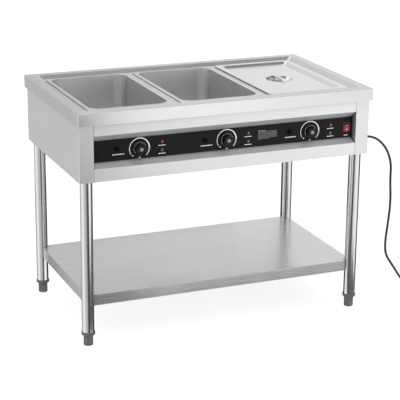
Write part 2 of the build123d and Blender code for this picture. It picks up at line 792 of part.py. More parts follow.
def pan_form(inset):
    """The drawn hollow of a pan, drafted and rounded; inset shrinks it all round."""
    with BuildPart() as form:
        with BuildSketch(Plane.XY.offset(pan_top)):
            RectangleRounded(
                pan_mouth_width - 2 * inset, pan_mouth_length - 2 * inset, pan_mouth_corner - inset
            )
        extrude(amount=-(pan_depth - inset), taper=pan_draft)
        fillet(form.faces().sort_by(Axis.Z)[0].edges(), 18 - inset)
    return form.part


pan_outside = pan_form(0)
pan_inside = pan_form(pan_sheet)

for bay, x in bays.items():
    with BuildPart() as pan:
        with BuildSketch(Plane.XY.offset(pan_top - pan_lip)):
            RectangleRounded(pan_width, pan_length, pan_corner)
        extrude(amount=pan_lip)
        fillet(pan.faces().sort_by(Axis.Z)[-1].edges(), 1.6)
        with BuildSketch(Plane.XY.offset(pan_top - pan_lip)):
            RectangleRounded(
                pan_width - 2 * pan_sheet, pan_length - 2 * pan_sheet, pan_corner - pan_sheet
            )
        extrude(amount=pan_lip - pan_sheet, mode=Mode.SUBTRACT)
        add(pan_outside)
        add(pan_inside, mode=Mode.SUBTRACT)
    pan.part = pan.part.moved(Location((x, deck_y, 0)))
    save(pan, f"pan_{bay}")

# ---------------------------------------------------------------- lid
lid_x = bays["right"]
lid_sheet = 0.8
lid_bottom = pan_top + 0.2
lid_border = 22.0
lid_slope = 10.0
lid_drop = 9.0
dish_x, dish_y = lid_x - 3.0, deck_y - 6.0
dish_radius, dish_depth, dish_slope = 53.0, 15.0, 14.0
lid_corner, lid_panel_corner = 24.0, 16.0
panel_top = lid_bottom + lid_sheet - lid_drop

with BuildPart() as lid:
    with BuildSketch(Plane.XY.offset(lid_bottom)):
        with Locations((lid_x, deck_y)):
            RectangleRounded(pan_width, pan_length, pan_corner)
    extrude(amount=lid_sheet)
    for drop, mode in ((0, Mode.ADD), (lid_sheet, Mode.SUBTRACT)):
        with BuildSketch(Plane.XY.offset(panel_top - lid_sheet + drop)):
            with Locations((lid_x, deck_y)):
                RectangleRounded(
                    pan_width - 2 * (lid_border + lid_slope),
                    pan_length - 2 * (lid_border + lid_slope),
                    lid_panel_corner,
                )
        with BuildSketch(Plane.XY.offset(lid_bottom + drop)):
            with Locations((lid_x, deck_y)):
                RectangleRounded(
                    pan_width - 2 * lid_border, pan_length - 2 * lid_border, lid_corner
                )
        loft(mode=mode)
    # the round dish that makes room for fingers under the handle
    for drop, mode in ((0, Mode.ADD), (lid_sheet, Mode.SUBTRACT)):
        with BuildSketch(Plane.XY.offset(panel_top - lid_sheet + drop)):
            with Locations((dish_x, dish_y)):
                Circle(dish_radius)
        with BuildSketch(Plane.XY.offset(panel_top - lid_sheet + drop - dish_depth)):
            with Locations((dish_x, dish_y)):
                Circle(dish_radius - dish_slope)
        loft(mode=mode)
save(lid, "lid")

handle_width, handle_thickness, handle_rise = 18.0, 2.0, 5.0
handle_foot, handle_bend = 7.0, 3.0
foot_z, bar_z = panel_top + handle_thickness / 2, panel_top + handle_rise
with BuildPart() as lid_handle:
    with BuildSketch(Plane.YZ.offset(dish_x - handle_width / 2)):
        with BuildLine():
            FilletPolyline(
                (dish_y - dish_radius - handle_foot, foot_z),
                (dish_y - dish_radius + handle_bend, foot_z),
                (dish_y - dish_radius + dish_slope, bar_z),
                (dish_y + dish_radius - dish_slope, bar_z),
                (dish_y + dish_radius - handle_bend, foot_z),
                (dish_y + dish_radius + handle_foot, foot_z),
                radius=handle_bend,
            )
        trace(line_width=handle_thickness)
    extrude(amount=handle_width)
save(lid_handle, "lid_handle")

# ---------------------------------------------------------------- screws
# Cross-slotted pan heads that hold the back cover to the side panels and the bottom tray.
cross_length, cross_width, cross_depth = 4.4, 1.1, 1.3
with BuildPart() as screws:
    with BuildSketch(facing_front(back_face + screw_head_height)):
        with Locations(*back_screws):
            Circle(screw_head_radius)
    extrude(amount=screw_head_height)
    fillet(screws.edges().filter_by(GeomType.CIRCLE).group_by(Axis.Y)[-1], 1.6)
    with BuildSketch(facing_front(back_face)):
        with Locations(*back_screws):
            Circle(screw_radius)
    extrude(amount=screw_length)
    with BuildSketch(facing_front(back_face + screw_head_height)):
        with Locations(*back_screws):
            Rectangle(cross_length, cross_width)
            Rectangle(cross_width, cross_length)
    extrude(amount=cross_depth, mode=Mode.SUBTRACT)
save(screws, "screws")

# ---------------------------------------------------------------- supply cord
with BuildPart() as cord_gland:
    with BuildSketch(Plane.YZ.offset(half_width - sheet - gland_collar)):
        with Locations((gland_y, gland_z)):
            RegularPolygon(gland_collar_radius + 1, 6)
    extrude(amount=gland_collar)
    with BuildSketch(Plane.YZ.offset(half_width - sheet)):
        with Locations((gland_y, gland_z)):
            Circle(gland_thread)
    extrude(amount=sheet)
    with BuildSketch(Plane.YZ.offset(half_width)):
        with Locations((gland_y, gland_z)):
            Circle(gland_collar_radius)
    extrude(amount=gland_collar)
    fillet(cord_gland.faces().sort_by(Axis.X)[-1].edges(), 1.5)
    with BuildSketch(Plane.YZ.offset(half_width + gland_collar)):
        with Locations((gland_y, gland_z)):
            Circle(gland_thread + 0.5)
    with BuildSketch(Plane.YZ.offset(gland_end)):
        with Locations((gland_y, gland_z)):
            Circle(cord_radius + 1.2)
    loft()
save(cord_gland, "cord_gland")

cord_route = [
    Vector(gland_end, gland_y, gland_z),
    Vector(640, -240, 664),
    Vector(699, -239, 612),
    Vector(724, -240, 545),
    Vector(721, -242, 480),
    Vector(729, -241, 392),
    Vector(724, -238, 305),
    Vector(714, -239, 225),
    Vector(717, -241, 171),
    Vector(748, -241, 127),
    Vector(789, -240, 66),
    Vector(824, -240, 25),
    Vector(861, -240, cord_radius + floor_clearance),
    Vector(898, -239, cord_radius + floor_clearance),
]


def bend_radii(points):
    """The largest arc that each corner of a route leaves room for."""
    radii = []
    for before, point, after in zip(points, points[1:], points[2:]):
        shorter = min((point - before).length, (after - point).length)
        half_turn = radians((point - before).get_angle(after - point)) / 2
        radii.append(0.45 * shorter / tan(half_turn))
    return radii


cord_radii = bend_radii(cord_route)
print("cord radii", [round(r) for r in cord_radii])

with BuildPart() as cord_tube:
    with BuildLine() as cord_path:
        FilletPolyline(*cord_route, radius=cord_radii)
    with BuildSketch(Plane(cord_path.line @ 0, z_dir=cord_path.line % 0)):
        Circle(cord_radius)
    sweep()
cord_length = sum(edge.length for edge in cord_path.edges())
section = pi * cord_radius**2
print("cord tube length", round(cord_length))
print("volume over section times length", round(cord_tube.part.volume / section / cord_length, 4))

# A second, short tube is the cord's tail, from the ring to the plug.
with BuildPart() as power_cord:
    add(cord_tube.part)
    with BuildSketch(facing_back(tail_start)):
        with Locations((-plug_x, plug_z)):
            Circle(cord_radius)
    extrude(amount=boot_start - tail_start)
save(power_cord, "power_cord")

# The rest of the cord is wound in a flat ring on the floor.
with BuildPart() as cord_coil:
    with BuildSketch(Plane(origin=(coil_x, coil_y, 0), x_dir=(1, 0, 0), z_dir=(0, -1, 0))):
        with Locations((coil_radius, coil_height / 2 + floor_clearance)):
            RectangleRounded(2 * coil_half_width, coil_height, cord_radius)
    revolve(axis=Axis((coil_x, coil_y, 0), (0, 0, 1)))
save(cord_coil, "cord_coil")

# A moulded three-pin plug lies beside the ring.
plug_width, plug_height, plug_body = 25.0, 20.8, 42.0
blade_length, blade_spacing = 16.0, 12.7


with BuildPart() as power_plug:
    with BuildSketch(facing_back(boot_start)):
        with Locations((-plug_x, plug_z)):
            Circle(cord_radius + 1)
    with BuildSketch(facing_back(plug_start)):
        with Locations((-plug_x, plug_z)):
            Circle(8.2)
    loft()
    with BuildSketch(facing_back(plug_start)):
        with Locations((-plug_x, plug_z)):
            RectangleRounded(18, 17, 5)
    with BuildSketch(facing_back(plug_start + 20)):
        with Locations((-plug_x, plug_z)):
            RectangleRounded(plug_width, plug_height, 5)
    loft()
    with BuildSketch(facing_back(plug_start + 20)):
        with Locations((-plug_x, plug_z)):
            RectangleRounded(plug_width, plug_height, 5)
    extrude(amount=plug_body - 20)
    with BuildSketch(facing_back(plug_start + plug_body)):
        with Locations(
            (-plug_x - blade_spacing / 2, plug_z + 3), (-plug_x + blade_spacing / 2, plug_z + 3)
        ):
            Rectangle(1.5, 6.3)
        with Locations((-plug_x, plug_z - 5.5)):
            Circle(2.4)
    extrude(amount=blade_length)
save(power_plug, "power_plug")
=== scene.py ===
"""Looks of the three-well steam table: finishes, printed details, supply cord, camera and light.

Metres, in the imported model's frame: X left to right, Y front to back, Z up from the floor.
"""

from math import cos, radians, sin, sqrt, tau

import bmesh
import bpy
from mathutils import Matrix, Vector


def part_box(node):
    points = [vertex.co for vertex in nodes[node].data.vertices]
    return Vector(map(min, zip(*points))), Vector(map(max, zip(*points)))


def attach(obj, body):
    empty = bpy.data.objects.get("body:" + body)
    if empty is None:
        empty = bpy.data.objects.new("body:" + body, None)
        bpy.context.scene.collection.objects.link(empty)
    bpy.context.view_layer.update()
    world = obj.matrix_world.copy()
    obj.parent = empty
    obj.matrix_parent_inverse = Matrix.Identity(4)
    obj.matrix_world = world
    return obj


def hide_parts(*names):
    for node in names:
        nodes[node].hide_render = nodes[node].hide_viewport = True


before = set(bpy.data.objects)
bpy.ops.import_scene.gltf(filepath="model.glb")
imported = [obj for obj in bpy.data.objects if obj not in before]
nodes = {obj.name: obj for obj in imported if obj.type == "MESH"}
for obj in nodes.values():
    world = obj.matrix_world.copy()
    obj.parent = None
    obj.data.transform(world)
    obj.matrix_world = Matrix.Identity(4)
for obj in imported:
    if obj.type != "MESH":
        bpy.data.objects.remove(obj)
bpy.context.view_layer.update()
MM = 0.001
bays = ("left", "centre", "right")
corners = ("front_left", "front_right", "back_left", "back_right")


# ---------------------------------------------------------------- node helpers
def add_node(tree, kind, inputs=(), **settings):
    """Adds a node. Each input is a number, a colour or another node's output."""
    made = tree.nodes.new("ShaderNode" + kind)
    for key, value in settings.items():
        setattr(made, key, value)
    for key, value in dict(inputs).items():
        if isinstance(value, bpy.types.NodeSocket):
            tree.links.new(value, made.inputs[key])
        else:
            made.inputs[key].default_value = value
    return made


def set_stops(ramp, stops):
    """Gives a colour ramp its stops of (position, colour)."""
    elements = ramp.color_ramp.elements
    while len(elements) < len(stops):
        elements.new(0.5)
    for element, (position, colour) in zip(elements, stops):
        element.position = position
        element.color = (*colour, 1)


class Finish:
    """One procedural material. Values that are the same all over sit on the shader's sockets."""

    def __init__(self, name, **sockets):
        self.material = bpy.data.materials.new(name)
        self.material.use_nodes = True
        self.tree = self.material.node_tree
        self.shader = self.tree.nodes["Principled BSDF"]
        self.coords = self.tree.nodes.new("ShaderNodeTexCoord").outputs["Object"]
        for socket, value in sockets.items():
            self.shader.inputs[socket.replace("_", " ")].default_value = value

    def node(self, kind, inputs=(), **settings):
        return add_node(self.tree, kind, inputs, **settings)

    def math(self, operation, *values):
        return self.node("Math", enumerate(values), operation=operation).outputs[0]

    def noise(self, size, detail=2.0, stretch=(1, 1, 1), roughness=0.5, coords=None):
        """Noise whose cells are about size metres, longer along an axis by its stretch."""
        scale = [1 / (size * s) for s in stretch]
        source = coords or self.coords
        placed = self.node("Mapping", {"Vector": source, "Scale": scale}).outputs[0]
        inputs = {"Vector": placed, "Scale": 1.0, "Detail": detail, "Roughness": roughness}
        return self.node("TexNoise", inputs).outputs["Fac"]

    def span(self, value, low, high, source=(0.3, 0.7)):
        """Maps a value from one range to another."""
        inputs = {0: value, 1: source[0], 2: source[1], 3: low, 4: high}
        return self.node("MapRange", inputs).outputs[0]

    def mottle(self, value, low, high):
        """A colour that runs from low to high over a noise's usual range."""
        ramp = self.node("ValToRGB", {0: value})
        set_stops(ramp, [(0.3, low), (0.7, high)])
        return ramp.outputs[0]

    def use(self, socket, value):
        self.tree.links.new(value, self.shader.inputs[socket])

    def paint_crevice_shade(self, colour, reach, deepest=0.25):
        """Painted shade: darkens a colour by ambient occlusion in folds, seams and gaps closer
        than reach metres.
        """
        openness = self.node("AmbientOcclusion", {"Distance": reach}, samples=12).outputs["AO"]
        share = self.span(openness, deepest, 1.0, (0.35, 0.95))
        darkened = self.node("VectorMath", {0: colour, "Scale": share}, operation="SCALE")
        return darkened.outputs["Vector"]

    def bump(self, height, strength, distance):
        """Raises the surface by a pattern of up to distance metres."""
        inputs = {"Height": height, "Strength": strength, "Distance": distance}
        self.use("Normal", self.node("Bump", inputs).outputs[0])


def grey(value, warm=0.0):
    """A near-neutral colour; warm tips it from blue towards yellow."""
    return (value * (1 + warm), value, value * (1 - warm))


def dress(finish, *names):
    """Gives CAD nodes a finish."""
    for name in names:
        for slot in nodes[name].material_slots:
            slot.material = finish.material


# ---------------------------------------------------------------- finishes
GRAIN = {"X": (1, 0, 0), "Z": (0, 0, 1)}
LINE_WIDTH = 0.0004
STREAK_WIDTH = 0.002
LINE_LENGTH = 1200  # times its width


def mitred_grain(f, low, high):
    """Grain along X at the front and back and along Y at the ends, meeting on mitre lines.

    Gives coordinates whose first axis follows the grain, and the grain's direction.
    """
    x, y, z = f.node("SeparateXYZ", {0: f.coords}).outputs
    to_end = f.math("SUBTRACT", (high.x - low.x) / 2, f.math("ABSOLUTE", x))
    to_front = f.math("SUBTRACT", (high.y - low.y) / 2, f.math("ABSOLUTE", y))
    end = f.math("LESS_THAN", to_end, to_front)
    rest = f.math("SUBTRACT", 1.0, end)
    first = f.math("ADD", f.math("MULTIPLY", x, rest), f.math("MULTIPLY", y, end))
    second = f.math("ADD", f.math("MULTIPLY", y, rest), f.math("MULTIPLY", x, end))
    flow = f.node("CombineXYZ", {0: first, 1: second, 2: z}).outputs[0]
    return flow, f.node("CombineXYZ", {0: rest, 1: end}).outputs[0]


def brushed(
    name, along, tone=0.62, spread=0.014, roughness=(0.25, 0.3), pull=0.6, relief=0.03, mitred=None
):
    """Stainless sheet ground along an axis, or along the sides of a mitred box.

    It has fine lines, broad streaks and faint cloudiness; pull is how far it stretches highlights.
    """
    f = Finish(name, Metallic=0.9, Anisotropic=pull)
    flow, grain = mitred_grain(f, *mitred) if mitred else (f.coords, GRAIN[along])
    stretch = [LINE_LENGTH if axis == along else 1 for axis in "XYZ"]
    fine = f.noise(LINE_WIDTH, stretch=stretch, roughness=0.6, coords=flow)
    streaks = f.noise(STREAK_WIDTH, stretch=stretch, coords=flow)
    cloud = f.noise(0.16)
    both = f.math("ADD", f.math("MULTIPLY", fine, 0.5), f.math("MULTIPLY", streaks, 0.5))
    shade = f.mottle(both, grey(tone - spread, -0.004), grey(tone + spread, -0.008))
    # Painted shade: the grain's colour is darkened by ambient occlusion in folds, seams and gaps.
    f.use("Base Color", f.paint_crevice_shade(shade, reach=0.012))
    f.use("Roughness", f.math("ADD", f.span(both, *roughness), f.span(cloud, -0.02, 0.02)))
    normal = f.node("NewGeometry").outputs["True Normal"]
    across = f.node("VectorMath", {0: normal, 1: grain}, operation="CROSS_PRODUCT").outputs[0]
    nudge = (0.001, 0.002, 0.001)  # for faces that look along the grain, where across is zero
    f.use("Tangent", f.node("VectorMath", {0: across, 1: nudge}, operation="ADD").outputs[0])
    f.bump(fine, relief, 0.00005)
    return f


def tube_steel(name, tone, roughness):
    """Polished tube: fine lines run round it, so lights stretch into bands along it."""
    f = Finish(name, Metallic=1.0, Anisotropic=0.75)
    rings = f.noise(LINE_WIDTH, detail=3, stretch=(120, 120, 1), roughness=0.6)
    cloud = f.noise(0.05, stretch=(1, 1, 3))
    f.use("Base Color", f.mottle(rings, grey(tone - 0.05), grey(tone + 0.04, -0.01)))
    f.use("Roughness", f.math("ADD", f.span(rings, *roughness), f.span(cloud, -0.02, 0.03)))
    f.use("Tangent", f.node("CombineXYZ", {"Z": 1.0}).outputs[0])
    f.bump(rings, 0.06, 0.0001)
    return f


def drawn_steel(name, tone):
    """Deep-drawn pan steel: satin, with faint vertical draw marks and hazy patches."""
    f = Finish(name, Metallic=1.0)
    marks = f.noise(0.001, stretch=(1, 1, 30))
    haze = f.noise(0.09)
    shade = f.mottle(haze, grey(tone - 0.008), grey(tone + 0.008, -0.01))
    # Painted shade: the steel's colour is darkened by ambient occlusion in folds and gaps.
    f.use("Base Color", f.paint_crevice_shade(shade, reach=0.01))
    f.use("Roughness", f.math("ADD", f.span(haze, 0.28, 0.3), f.span(marks, -0.01, 0.01)))
    f.bump(marks, 0.02, 0.00005)
    return f


def plastic(name, low, high, roughness, pebble=0.0006, relief=0.25, **sockets):
    """Moulded plastic with a fine pebbled skin."""
    f = Finish(name, **sockets)
    skin = f.noise(pebble, 3)
    patch = f.noise(0.02, 3)
    f.use("Base Color", f.mottle(patch, low, high))
    f.use("Roughness", f.math("ADD", f.span(patch, *roughness), f.span(skin, -0.04, 0.04)))
    f.bump(skin, relief, 0.00015)
    return f


def cast_metal(name, low, high, roughness):
    """Cast or plated metal with a slightly uneven skin."""
    f = Finish(name, Metallic=1.0)
    skin = f.noise(0.0012, 4)
    patch = f.noise(0.012, 3)
    f.use("Base Color", f.mottle(patch, low, high))
    f.use("Roughness", f.math("ADD", f.span(patch, *roughness), f.span(skin, -0.05, 0.05)))
    f.bump(skin, 0.3, 0.0002)
    return f


def spun_cap(name, middle_x, pitch, middle_z):
    """Turned aluminium: rings about each knob's axis, repeated at the knobs' pitch."""
    ring_pitch = 0.00045
    f = Finish(name, Metallic=1.0)
    parts = f.node("SeparateXYZ", {0: f.coords}).outputs
    x = f.math("WRAP", f.math("SUBTRACT", parts[0], middle_x), pitch / 2, -pitch / 2)
    z = f.math("SUBTRACT", parts[2], middle_z)
    reach = f.math("SQRT", f.math("ADD", f.math("MULTIPLY", x, x), f.math("MULTIPLY", z, z)))
    rings = f.math("SINE", f.math("MULTIPLY", reach, tau / ring_pitch))
    haze = f.noise(0.002, 3)
    f.use("Base Color", f.mottle(haze, grey(0.24), grey(0.3, -0.01)))
    f.use("Roughness", f.span(rings, 0.28, 0.4, (-1, 1)))
    f.bump(rings, 0.12, 0.00005)
    return f


def printed_ink(name, low, high):
    """Screen-printed ink, slightly uneven in cover."""
    f = Finish(name)
    cover = f.noise(0.0015, 3)
    f.use("Base Color", f.mottle(cover, grey(low), grey(high)))
    f.use("Roughness", f.span(cover, 0.42, 0.55))
    f.bump(cover, 0.1, 0.00005)
    return f


def lens(name, low, high):
    """Tinted moulded lens: darker in patches, with small ripples as from a ribbed inside."""
    cells_per_metre = 900.0
    f = Finish(name, Coat_Weight=0.6, Coat_Roughness=0.05, IOR=1.49)
    pattern = f.node("TexVoronoi", {"Vector": f.coords, "Scale": cells_per_metre})
    cells = pattern.outputs["Distance"]
    patch = f.noise(0.003)
    depth = f.math("ADD", patch, f.span(cells, -0.1, 0.1, (0, 1)))
    f.use("Base Color", f.mottle(depth, low, high))
    f.use("Roughness", f.span(cells, 0.12, 0.25, (0, 1)))
    f.bump(cells, 0.3, 0.0003)
    return f


top_steel = brushed("worktop_steel", "X", spread=0.01, relief=0.015, mitred=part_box("worktop"))
front_steel = brushed("front_steel", "X", tone=0.72, roughness=(0.46, 0.5))
side_steel = brushed(
    "side_steel", "Z", tone=0.66, spread=0.006, roughness=(0.34, 0.38), relief=0.01
)
shelf_steel = brushed("shelf_steel", "X", tone=0.66, roughness=(0.2, 0.3), pull=0.75)
lid_steel = brushed(
    "lid_steel", "X", tone=0.76, spread=0.008, roughness=(0.1, 0.14), pull=0.3, relief=0.01
)
polished = tube_steel("polished_steel", tone=0.66, roughness=(0.13, 0.2))
pan_steel = drawn_steel("pan_steel", tone=0.72)
well_steel = drawn_steel("well_steel", tone=0.52)
fascia_black = plastic(
    "fascia_black", grey(0.004), grey(0.006), (0.4, 0.5), pebble=0.0005, relief=0.12,
    Specular_IOR_Level=0.14,
)
knob_black = plastic(
    "knob_black", grey(0.003), grey(0.006), (0.32, 0.42), Specular_IOR_Level=0.22
)
button_black = plastic(
    "button_black", grey(0.001), grey(0.002), (0.4, 0.5), Specular_IOR_Level=0.05
)
housing_black = plastic("housing_black", grey(0.014), grey(0.022), (0.35, 0.45))
foot_grey = plastic("foot_grey", grey(0.06), grey(0.1), (0.45, 0.6), pebble=0.001, relief=0.4)
rocker_red = plastic(
    "rocker_red", (0.2, 0.008, 0.012), (0.27, 0.012, 0.017), (0.18, 0.28),
    pebble=0.002, relief=0.05,
)
lever_red = plastic(
    "lever_red", (0.45, 0.02, 0.015), (0.58, 0.03, 0.02), (0.25, 0.4),
    pebble=0.0012, relief=0.2,
)
phenolic = plastic("phenolic", (0.03, 0.016, 0.01), (0.05, 0.026, 0.016), (0.3, 0.45))
terminal_white = plastic("terminal_white", grey(0.6, 0.02), grey(0.7, 0.03), (0.3, 0.45))
sleeve = plastic("wire_sleeve", grey(0.015), grey(0.03), (0.5, 0.7), pebble=0.0012, relief=0.5)
rubber = plastic("cord_rubber", grey(0.012), grey(0.02), (0.5, 0.65), pebble=0.0008, relief=0.3)
zinc = cast_metal("zinc_steel", grey(0.5, 0.01), grey(0.62), (0.25, 0.4))
brass = cast_metal("valve_brass", (0.55, 0.4, 0.2), (0.66, 0.5, 0.27), (0.28, 0.45))
sheath = cast_metal("element_sheath", grey(0.16, 0.04), grey(0.26, 0.06), (0.4, 0.6))
ink = printed_ink("printed_ink", 0.62, 0.8)
thin_ink = printed_ink("thin_ink", 0.2, 0.34)
# Pale discs laid on the lamps' lens centres: painted highlights, not lit parts.
red_painted_highlight = plastic(
    "lamp_painted_highlight_red", (0.62, 0.13, 0.2), (0.75, 0.2, 0.28), (0.2, 0.3), pebble=0.001, relief=0.1
)
green_painted_highlight = plastic(
    "lamp_painted_highlight_green", (0.06, 0.3, 0.22), (0.1, 0.4, 0.3), (0.2, 0.3), pebble=0.001, relief=0.1
)
red_glass = lens("red_lens", (0.12, 0.002, 0.006), (0.22, 0.006, 0.014))
green_glass = lens("green_lens", (0.002, 0.04, 0.028), (0.006, 0.09, 0.06))

knob_boxes = [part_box(f"knob_{bay}") for bay in bays]
knob_centres = [(low + high) / 2 for low, high in knob_boxes]
knob_pitch = knob_centres[1].x - knob_centres[0].x
cap_metal = spun_cap("cap_grey", knob_centres[1].x, knob_pitch, knob_centres[1].z)

dress(top_steel, "worktop")
dress(front_steel, "front_panel", "bottom_panel", "back_panel")
dress(side_steel, "side_panel_left", "side_panel_right")
dress(shelf_steel, "undershelf", "shelf_brackets")
dress(lid_steel, "lid")
dress(polished, "lid_handle", "leg_sockets", *[f"leg_{corner}" for corner in corners])
dress(foot_grey, "leg_inserts", *[f"foot_{corner}" for corner in corners])
dress(fascia_black, "control_fascia")
dress(housing_black, "switch_housing")
dress(rocker_red, "switch_rocker")
dress(phenolic, "thermostats")
dress(button_black, "overheat_cutouts")
dress(terminal_white, "terminal_block")
dress(sleeve, "wiring_loom")
dress(zinc, "screws", "drain_pipes")
dress(brass, "drain_valves")
dress(rubber, "cord_gland", "power_cord", "cord_coil", "power_plug")
dress(red_glass, "heating_lamps")
dress(green_glass, "power_lamps")
for bay in bays:
    dress(pan_steel, f"pan_{bay}")
    dress(well_steel, f"well_{bay}")
    dress(sheath, f"heating_element_{bay}")
    dress(knob_black, f"knob_{bay}")
    dress(button_black, f"reset_button_{bay}")
    dress(cap_metal, f"knob_cap_{bay}")
    dress(zinc, f"knob_spindle_{bay}")
    dress(lever_red, f"drain_lever_{bay}")


# ---------------------------------------------------------------- mesh helpers
def piece(name, mesh_data, finish, body):
    """A new visible piece that rides on a body."""
    made = bpy.data.objects.new(name, mesh_data)
    bpy.context.scene.collection.objects.link(made)
    made.data.materials.append(finish.material)
    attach(made, body)
    return made


def slabs(name, outlines, place, finish, body):
    """Thin flat marks. Outlines are convex, anticlockwise from the front, in a face's own axes.

    place(across, up, out) makes points of them; out is 0 at the back of a mark, 1 at its front.
    """
    points, faces = [], []
    for outline in outlines:
        first, count = len(points), len(outline)
        points += [place(across, up, 0) for across, up in outline]
        points += [place(across, up, 1) for across, up in outline]
        faces.append([first + count + i for i in range(count)])
        faces.append([first + count - 1 - i for i in range(count)])
        for i in range(count):
            j = (i + 1) % count
            faces.append([first + i, first + j, first + count + j, first + count + i])
    data = bpy.data.meshes.new(name)
    data.from_pydata(points, [], faces)
    return piece(name, data, finish, body)


def turned(name, profile, face_y, centres, finish, body, segments=40):
    """Turned pieces that stand on an upright face, each about an axis along Y.

    The profile is (radius, height above the face). From the axis it makes a dome, else a ring.
    """
    points, faces = [], []
    is_ring = profile[0][0] > 0
    for x, z in centres:
        first, count = len(points), len(profile)
        for step in range(segments):
            angle = tau * step / segments
            points += [(x + r * cos(angle), face_y - h, z + r * sin(angle)) for r, h in profile]
        for step in range(segments):
            here, after = first + step * count, first + (step + 1) % segments * count
            for i in range(count if is_ring else count - 1):
                j = (i + 1) % count
                faces.append([here + i, here + j, after + j, after + i])
    data = bpy.data.meshes.new(name)
    data.from_pydata(points, [], faces)
    shape = bmesh.new()
    shape.from_mesh(data)
    bmesh.ops.remove_doubles(shape, verts=shape.verts, dist=1e-6)
    bmesh.ops.recalc_face_normals(shape, faces=shape.faces)
    shape.to_mesh(data)
    shape.free()
    data.shade_smooth()
    return piece(name, data, finish, body)


def bar(middle_x, middle_z, width, height):
    """The outline of an upright rectangle."""
    x, z = width / 2, height / 2
    return [
        (middle_x - x, middle_z - z),
        (middle_x + x, middle_z - z),
        (middle_x + x, middle_z + z),
        (middle_x - x, middle_z + z),
    ]


def arc_outlines(middle_x, middle_z, outer, start, end, width, widening=0.0, step=4):
    """Short pieces of a band, clockwise between two angles in degrees.

    The outer edge is round; the width grows inwards, by widening from start to end.
    """
    count = max(1, round((start - end) / step))
    outlines = []
    for i in range(count):
        corner_points = []
        for share, ring in ((i, 0), (i + 1, 0), (i + 1, 1), (i, 1)):
            angle = radians(start + (end - start) * share / count)
            reach = outer - (0 if ring else width + widening * share / count)
            corner_points.append((middle_x + reach * cos(angle), middle_z + reach * sin(angle)))
        outlines.append(corner_points[::-1])
    return outlines


def words(left, right, middle_z, height, first_word=0):
    """A line of made-up words, as a row of short bars."""
    lengths = (5.2, 3.0, 6.1, 2.1, 4.4, 7.0, 3.5, 5.6, 2.6)  # mm
    gap, shortest = 0.0011, 0.0015
    outlines, x, index = [], left, first_word
    while x < right - shortest:
        end = min(x + lengths[index % len(lengths)] * MM, right)
        outlines.append(bar((x + end) / 2, middle_z, end - x, height))
        x, index = end + gap, index + 1
    return outlines


INK_SUNK = 0.00003  # into the surface, so that no gap shows
INK_DEPTH = 0.00015


def on_upright(face_y):
    """Places ink on an upright face that looks forwards."""
    return lambda across, up, out: (across, face_y + INK_SUNK - INK_DEPTH * out, up)


# ---------------------------------------------------------------- printed fascia
fascia_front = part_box("control_fascia")[0].y
rocker_low, rocker_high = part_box("switch_rocker")
switch_x = (rocker_low.x + rocker_high.x) / 2

# Offsets are from the dial's axis; a label is (offset x, offset z, width, height, first word).
reset_dx, lamp_dx = -0.080, 0.085
ring_start, ring_end = 214, -4
ring_radius, ring_width, ring_widening = 0.039, 0.0014, 0.0030
dash_angles = ((-9, -15), (-20, -26), (-31, -36), (-41, -45))
dash_width = 0.0046
dot_dx, dot_dz, dot_radius, dot_width = -0.026, -0.0255, 0.0024, 0.0021
low_mark_dz, low_mark_width, low_mark_height = -0.0335, 0.0062, 0.0028
labels = (
    (reset_dx, -0.015, 0.045, 0.0026, 0),
    (lamp_dx, 0.0032, 0.027, 0.0024, 2),
    (lamp_dx, -0.0268, 0.027, 0.0024, 5),
)
switch_label_z, switch_label_width, switch_label_height = 0.6935, 0.018, 0.0028

prints = []
for centre in knob_centres:
    x, z = centre.x, centre.z
    prints += arc_outlines(x, z, ring_radius, ring_start, ring_end, ring_width, ring_widening)
    for start, end in dash_angles:
        prints += arc_outlines(x, z, ring_radius, start, end, dash_width)
    prints += arc_outlines(x + dot_dx, z + dot_dz, dot_radius, 360, 0, dot_width, step=40)
    prints.append(bar(x, z + low_mark_dz, low_mark_width, low_mark_height))
    for dx, dz, width, height, first_word in labels:
        left, right = x + dx - width / 2, x + dx + width / 2
        prints += words(left, right, z + dz, height, first_word)
prints += words(
    switch_x - switch_label_width / 2, switch_x + switch_label_width / 2,
    switch_label_z, switch_label_height, first_word=3,
)

notice_left, notice_top, notice_pitch = 0.127, 0.742, 0.0038
notice_widths = (30, 78, 74, 79, 76, 72, 78, 75, 44)  # mm, title first
title_height, line_height = 0.0022, 0.0011
notice = []
for row, width in enumerate(notice_widths):
    right = notice_left + width * MM
    row_z = notice_top - row * notice_pitch
    height = line_height if row else title_height
    notice += words(notice_left, right, row_z, height, first_word=2 * row)

on_fascia = on_upright(fascia_front)
for printed in (
    slabs("fascia_print", prints, on_fascia, ink, "cabinet"),
    slabs("notice_print", notice, on_fascia, thin_ink, "cabinet"),
):
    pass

# ---------------------------------------------------------------- knobs
skirt_thickness = 0.0032
tick_angles = range(30, 211, 20)
tick_radius, tick_length, tick_half_angle = 0.0242, 0.0028, 1.5
for bay, (_, knob_high), centre in zip(bays, knob_boxes, knob_centres):
    ticks = []
    for angle in tick_angles:
        start, end = angle + tick_half_angle, angle - tick_half_angle
        ticks += arc_outlines(centre.x, centre.z, tick_radius, start, end, tick_length)
    on_skirt = on_upright(knob_high.y - skirt_thickness)
    tick_marks = slabs(f"knob_ticks_{bay}", ticks, on_skirt, ink, f"dial_{bay}")

